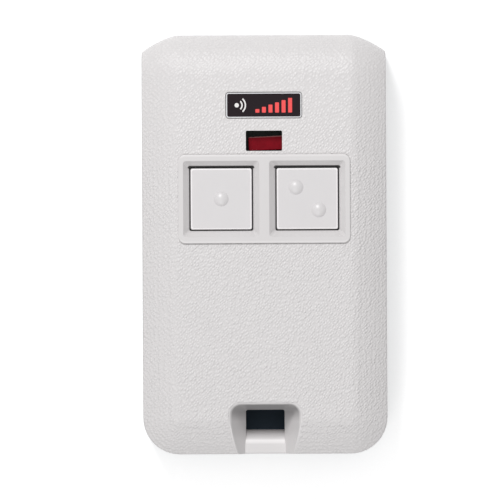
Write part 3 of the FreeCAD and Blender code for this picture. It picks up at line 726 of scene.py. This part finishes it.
class KEYFOB_OT_label(FobOperator, bpy.types.Operator):
    """Finish the label plate and lay its bright border, signal waves and rising bars on it"""

    bl_idname = "keyfob.label"
    bl_label = "Label Plate"

    def execute(self, context):
        size, middle, top = size_of("label_plate"), middle_of("label_plate"), top_of("label_plate")
        layer = (top, top + sizes().ink_rise / MM)
        dress(ink("label_black_gloss", colours().label, roughness=0.16), "label_plate")
        self.border(size, middle, layer)
        self.waves(size, middle, layer)
        self.bars(size, middle, layer)
        return {"FINISHED"}

    def border(self, size, middle, layer):
        """A narrow frame along the plate's edge."""
        both = 2 * sizes().border_width / MM
        outer = rounded_outline(middle.x, middle.y, size.x, size.y, radius=0.36)
        inner = rounded_outline(middle.x, middle.y, size.x - both, size.y - both, radius=0.25)
        builder = bmesh.new()
        ring(builder, outer, inner, *layer)
        foil = ink("label_silver_foil", colours().silver, metallic=0.3, roughness=0.3)
        new_piece("label_border", builder, foil, "case")

    def waves(self, size, middle, layer):
        """A dot with two arcs to its right."""
        x, y = middle.x - size.x * 0.36, middle.y
        dot, stroke, half_angle = 0.62, 0.2, 48
        builder = bmesh.new()
        slab(builder, rounded_outline(x, y, dot, dot, radius=dot / 2), *layer)
        for radius in (0.75, 1.22):
            slab(builder, arc_outline(x, y, radius, stroke, -half_angle, half_angle), *layer)
        new_piece("label_waves", builder, ink("label_pale_ink", colours().pale), "case")

    def bars(self, size, middle, layer):
        """A row of bars, each higher than the one before it."""
        count, pitch, width = 6, 0.92, 0.56
        lowest, growth = 0.5, 0.31
        start, foot = middle.x - 0.9, middle.y - size.y * 0.30
        builder = bmesh.new()
        for number in range(count):
            x, height = start + pitch * number, lowest + growth * number
            outline = rounded_outline(x, foot + height / 2, width, height, radius=0.08, steps=3)
            slab(builder, outline, *layer)
        new_piece("label_bars", builder, ink("label_coral_ink", colours().coral), "case")


class KEYFOB_OT_lamp(FobOperator, bpy.types.Operator):
    """Finish the indicator lamp in red resin and its leads in tin"""

    bl_idname = "keyfob.lamp"
    bl_label = "Indicator Lamp"

    def execute(self, context):
        dress(lamp_resin(), "indicator_lamp")
        dress(metal("tinned_leads", "tinned_steel", (0.72, 0.71, 0.69), brush_axis=2), "lamp_leads")
        return {"FINISHED"}


class KEYFOB_OT_screws(FobOperator, bpy.types.Operator):
    """Finish the case screws in dark zinc"""

    bl_idname = "keyfob.screws"
    bl_label = "Case Screws"

    def execute(self, context):
        dress(metal("dark_zinc", "screw_steel", (0.20, 0.20, 0.21), roughness=0.3), "case_screws")
        return {"FINISHED"}


class KEYFOB_OT_board(FobOperator, bpy.types.Operator):
    """Finish the circuit board and the small parts soldered to it"""

    bl_idname = "keyfob.board"
    bl_label = "Circuit Board"

    def execute(self, context):
        dress(board_finish(), "circuit_board")
        black = moulding("black_chip_body", "chip_body", (0.018, 0.018, 0.02), roughness=0.38)
        dress(black, "encoder_chip", "oscillator_transistor")
        dress(metal("tinned_pins", "tinned_steel", (0.74, 0.73, 0.71), brush_axis=1), "encoder_pins")
        dress(metal("nickel_can", "can_metal", (0.70, 0.70, 0.72), brush_axis=2), "resonator_can")
        dress(moulding("fired_ceramic", "ceramic", (0.66, 0.60, 0.50), roughness=0.5), "trimmer_base")
        dress(metal("silvered_brass", "brass_rotor", (0.78, 0.62, 0.34)), "trimmer_rotor")
        resistors = chip_part_finish("resistor_chips", "chip_resistors", (0.02, 0.02, 0.022))
        dress(resistors, "chip_resistors")
        capacitors = chip_part_finish("capacitor_chips", "chip_capacitors", (0.42, 0.27, 0.15))
        dress(capacitors, "chip_capacitors")
        return {"FINISHED"}


class KEYFOB_OT_switches(FobOperator, bpy.types.Operator):
    """Finish the push switches under the buttons"""

    bl_idname = "keyfob.switches"
    bl_label = "Push Switches"

    def execute(self, context):
        base = moulding("switch_base_black", "chip_body", (0.022, 0.022, 0.024), roughness=0.42)
        cover = metal("switch_cover_nickel", "can_metal", (0.72, 0.72, 0.73))
        plunger = moulding("switch_plunger_red", "plunger_plastic", (0.42, 0.03, 0.025))
        dome = metal("snap_dome_steel", "tinned_steel", (0.70, 0.69, 0.66), brush_axis=1)
        for side in SIDES:
            dress(base, side + "_switch_base")
            dress(cover, side + "_switch_cover")
            dress(plunger, side + "_switch_plunger")
            dress(dome, side + "_switch_dome")
        return {"FINISHED"}


class KEYFOB_OT_code_switch(FobOperator, bpy.types.Operator):
    """Finish the code switch, its ten levers and its terminals"""

    bl_idname = "keyfob.code_switch"
    bl_label = "Code Switch"

    def execute(self, context):
        dress(moulding("blue_switch_body", "switch_moulding", (0.02, 0.07, 0.26)), "code_switch_body")
        dress(moulding("white_levers", "lever_plastic", (0.78, 0.78, 0.75)), *LEVERS)
        tin = metal("tinned_terminals", "tinned_steel", (0.74, 0.73, 0.71), brush_axis=1)
        dress(tin, "code_switch_terminals")
        return {"FINISHED"}


class KEYFOB_OT_battery(FobOperator, bpy.types.Operator):
    """Finish the battery, its two contacts and the spring"""

    bl_idname = "keyfob.battery"
    bl_label = "Battery And Contacts"

    def execute(self, context):
        dress(cell_jacket(), "battery_cell")
        steel = metal("contact_spring_steel", "tinned_steel", (0.73, 0.72, 0.69), brush_axis=1)
        dress(steel, "battery_contact_positive", "battery_contact_negative", "battery_spring")
        return {"FINISHED"}


class KEYFOB_OT_stage(FobOperator, bpy.types.Operator):
    """Lay the floor, hang the lamps and set the camera over the front face"""

    bl_idname = "keyfob.stage"
    bl_label = "Floor, Lamps And Camera"

    def execute(self, context):
        setup = lighting()
        self.floor(context.scene)
        self.world(context.scene, setup.sky)
        self.lamp(context.scene, "key_lamp", KEY_PLACE, setup.key_width, setup.key_power)
        self.lamp(context.scene, "fill_lamp", FILL_PLACE, setup.fill_width, setup.fill_power)
        self.camera(context.scene, sizes())
        context.scene.view_settings.view_transform = "Standard"
        return {"FINISHED"}

    def floor(self, scene):
        """A wide pale floor that the camera sees as near-white, with the fob's shadow kept."""
        # The floor lies a hair under the rear cover, so that the two faces don't flicker.
        half, height, lift = 2000.0, -0.02, 0.5
        corners = ((-half, -half), (half, -half), (half, half), (-half, half))
        builder = bmesh.new()
        builder.faces.new([builder.verts.new(Vector((x, y, height)) * MM) for x, y in corners])
        mesh = bpy.data.meshes.new("floor")
        builder.to_mesh(mesh)
        builder.free()
        floor = bpy.data.objects.new("floor", mesh)
        scene.collection.objects.link(floor)
        finish = Finish("pale_floor", "stage", Roughness=0.9, Specular_IOR_Level=0.1)
        finish.set("Base Color", colours().floor)
        plain = finish.shader[0]
        glow = finish.add("ShaderNodeEmission", {}, {"Color": WHITE, "Strength": lift})[0]
        lit = finish.add("ShaderNodeAddShader", {}, {0: plain, 1: glow})[0]
        mixed = finish.add("ShaderNodeMixShader", {}, {0: finish.seen(), 1: plain, 2: lit})[0]
        finish.connect(mixed, finish.surface)
        mesh.materials.append(finish.material)

    def world(self, scene, strength):
        """Even studio light, seen as white where the camera looks past the floor."""
        world = bpy.data.worlds.new("studio")
        nodes = Nodes(world)
        falling = nodes.add("ShaderNodeBackground", {}, {"Color": WHITE, "Strength": strength})[0]
        backdrop = nodes.add("ShaderNodeBackground", {}, {"Color": WHITE, "Strength": 1.0})[0]
        mixed = nodes.add("ShaderNodeMixShader", {}, {0: nodes.seen(), 1: falling, 2: backdrop})[0]
        nodes.add("ShaderNodeOutputWorld", {}, {"Surface": mixed})
        scene.world = world

    def lamp(self, scene, name, place, width, power):
        """A round lamp that shines on the fob."""
        data = bpy.data.lights.new(name, "AREA")
        data.shape = "DISK"
        data.size = width
        data.energy = power
        lamp = bpy.data.objects.new(name, data)
        lamp.location = place
        aim = Vector(LAMP_AIM) - Vector(place)
        lamp.rotation_euler = aim.to_track_quat("-Z", "Y").to_euler()
        scene.collection.objects.link(lamp)

    def camera(self, scene, setup):
        """Looks straight down on the front face, framed as in the reference picture."""
        data = bpy.data.cameras.new("camera")
        data.sensor_width = 36.0
        data.lens = data.sensor_width * setup.camera_distance / setup.view_width
        camera = bpy.data.objects.new("camera", data)
        turn = Matrix.Rotation(-setup.camera_tilt, 3, "X") @ Matrix.Rotation(-setup.camera_roll, 3, "Z")
        camera.location = Vector(PICTURE_MIDDLE) + turn @ Vector((0, 0, setup.camera_distance))
        camera.rotation_euler = turn.to_euler()
        scene.collection.objects.link(camera)
        scene.camera = camera


class KEYFOB_PT_looks(bpy.types.Panel):
    """Lists the fob's pieces and their settings in the sidebar"""

    bl_label = "Key Fob Looks"
    bl_space_type = "VIEW_3D"
    bl_region_type = "UI"
    bl_category = "Key Fob"

    def draw(self, context):
        for operator in OPERATORS:
            self.layout.operator(operator.bl_idname)
        for group in (sizes(), lighting(), colours()):
            box = self.layout.box()
            for name in group.__annotations__:
                box.prop(group, name)


OPERATORS = (
    KEYFOB_OT_case,
    KEYFOB_OT_buttons,
    KEYFOB_OT_label,
    KEYFOB_OT_lamp,
    KEYFOB_OT_screws,
    KEYFOB_OT_board,
    KEYFOB_OT_switches,
    KEYFOB_OT_code_switch,
    KEYFOB_OT_battery,
    KEYFOB_OT_stage,
)
CLASSES = (FobSizes, FobLight, FobColours, *OPERATORS, KEYFOB_PT_looks)


def register():
    for cls in CLASSES:
        bpy.utils.register_class(cls)
    bpy.types.Scene.fob_sizes = bpy.props.PointerProperty(type=FobSizes)
    bpy.types.Scene.fob_light = bpy.props.PointerProperty(type=FobLight)
    bpy.types.Scene.fob_colours = bpy.props.PointerProperty(type=FobColours)


def unregister():
    del bpy.types.Scene.fob_colours
    del bpy.types.Scene.fob_light
    del bpy.types.Scene.fob_sizes
    for cls in reversed(CLASSES):
        bpy.utils.unregister_class(cls)


def main():
    register()
    for operator in OPERATORS:
        group, name = operator.bl_idname.split(".")
        getattr(getattr(bpy.ops, group), name)()


if __name__ == "__main__":
    main()
